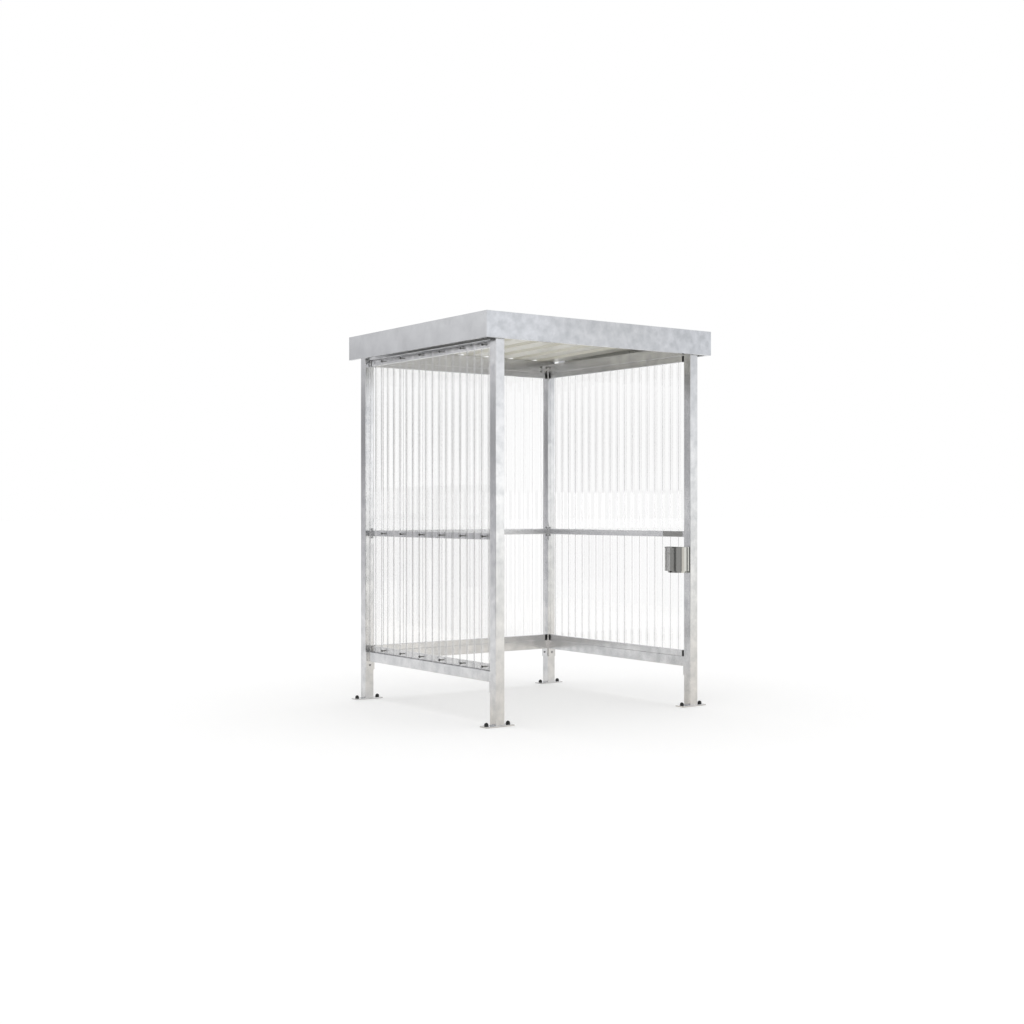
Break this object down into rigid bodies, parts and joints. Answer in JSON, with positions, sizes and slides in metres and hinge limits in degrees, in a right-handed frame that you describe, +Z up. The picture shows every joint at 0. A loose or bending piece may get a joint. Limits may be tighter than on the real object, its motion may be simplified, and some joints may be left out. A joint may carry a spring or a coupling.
{
  "type": "smoking shelter",
  "caption": "Open-fronted smoking shelter: galvanised post frame, clear ribbed walls on three sides, ribbed roof behind a deep fascia, half-round ashtray on a front post.",
  "frame": {"origin": "on the ground, under the centre of the whole outline", "axes": "+X along the open front, to the right as seen from the front; +Y from the open front to the back wall; +Z up"},
  "size_m": [1.714, 1.581, 2.354],
  "materials": {
    "galvanised_steel": "hot-dip galvanised, matt with a faint spangle",
    "galvanised_sheet": "galvanised folded sheet, matt with a mottled spangle",
    "coated_roof_sheet": "coil-coated, satin grey-white",
    "clear_sheet": "clear ribbed plastic sheet, glossy",
    "stainless_steel": "stainless steel, fine ground",
    "black_plastic": "moulded black plastic, satin"
  },
  "bodies": {
    "root": {"post_front_left": "galvanised_steel", "post_front_right": "galvanised_steel", "post_back_left": "galvanised_steel", "post_back_right": "galvanised_steel", "base_plate_front_left": "galvanised_steel", "base_plate_front_right": "galvanised_steel", "base_plate_back_left": "galvanised_steel", "base_plate_back_right": "galvanised_steel", "left_bottom_rail": "galvanised_steel", "back_bottom_rail": "galvanised_steel", "right_bottom_rail": "galvanised_steel", "left_mid_rail": "galvanised_steel", "back_mid_rail": "galvanised_steel", "right_mid_rail": "galvanised_steel", "left_top_rail": "galvanised_steel", "back_top_rail": "galvanised_steel", "right_top_rail": "galvanised_steel", "front_beam": "galvanised_steel", "left_bottom_carrier": "galvanised_steel", "back_bottom_carrier": "galvanised_steel", "right_bottom_carrier": "galvanised_steel", "left_top_carrier": "galvanised_steel", "back_top_carrier": "galvanised_steel", "right_top_carrier": "galvanised_steel", "anchor_caps": "black_plastic", "carrier_plugs": "black_plastic", "left_wall_sheet": "clear_sheet", "back_wall_sheet": "clear_sheet", "right_wall_sheet": "clear_sheet", "roof_sheet": "coated_roof_sheet", "front_fascia": "galvanised_sheet", "left_fascia": "galvanised_sheet", "right_fascia": "galvanised_sheet", "left_fascia_brackets": "galvanised_steel", "right_fascia_brackets": "galvanised_steel", "front_fascia_brackets": "galvanised_steel", "ashtray_back_plate": "stainless_steel", "ashtray_body": "stainless_steel", "ashtray_lid": "stainless_steel", "ashtray_pan": "stainless_steel", "ashtray_lock": "stainless_steel", "ashtray_knob": "black_plastic"}
  },
  "joints": []
}
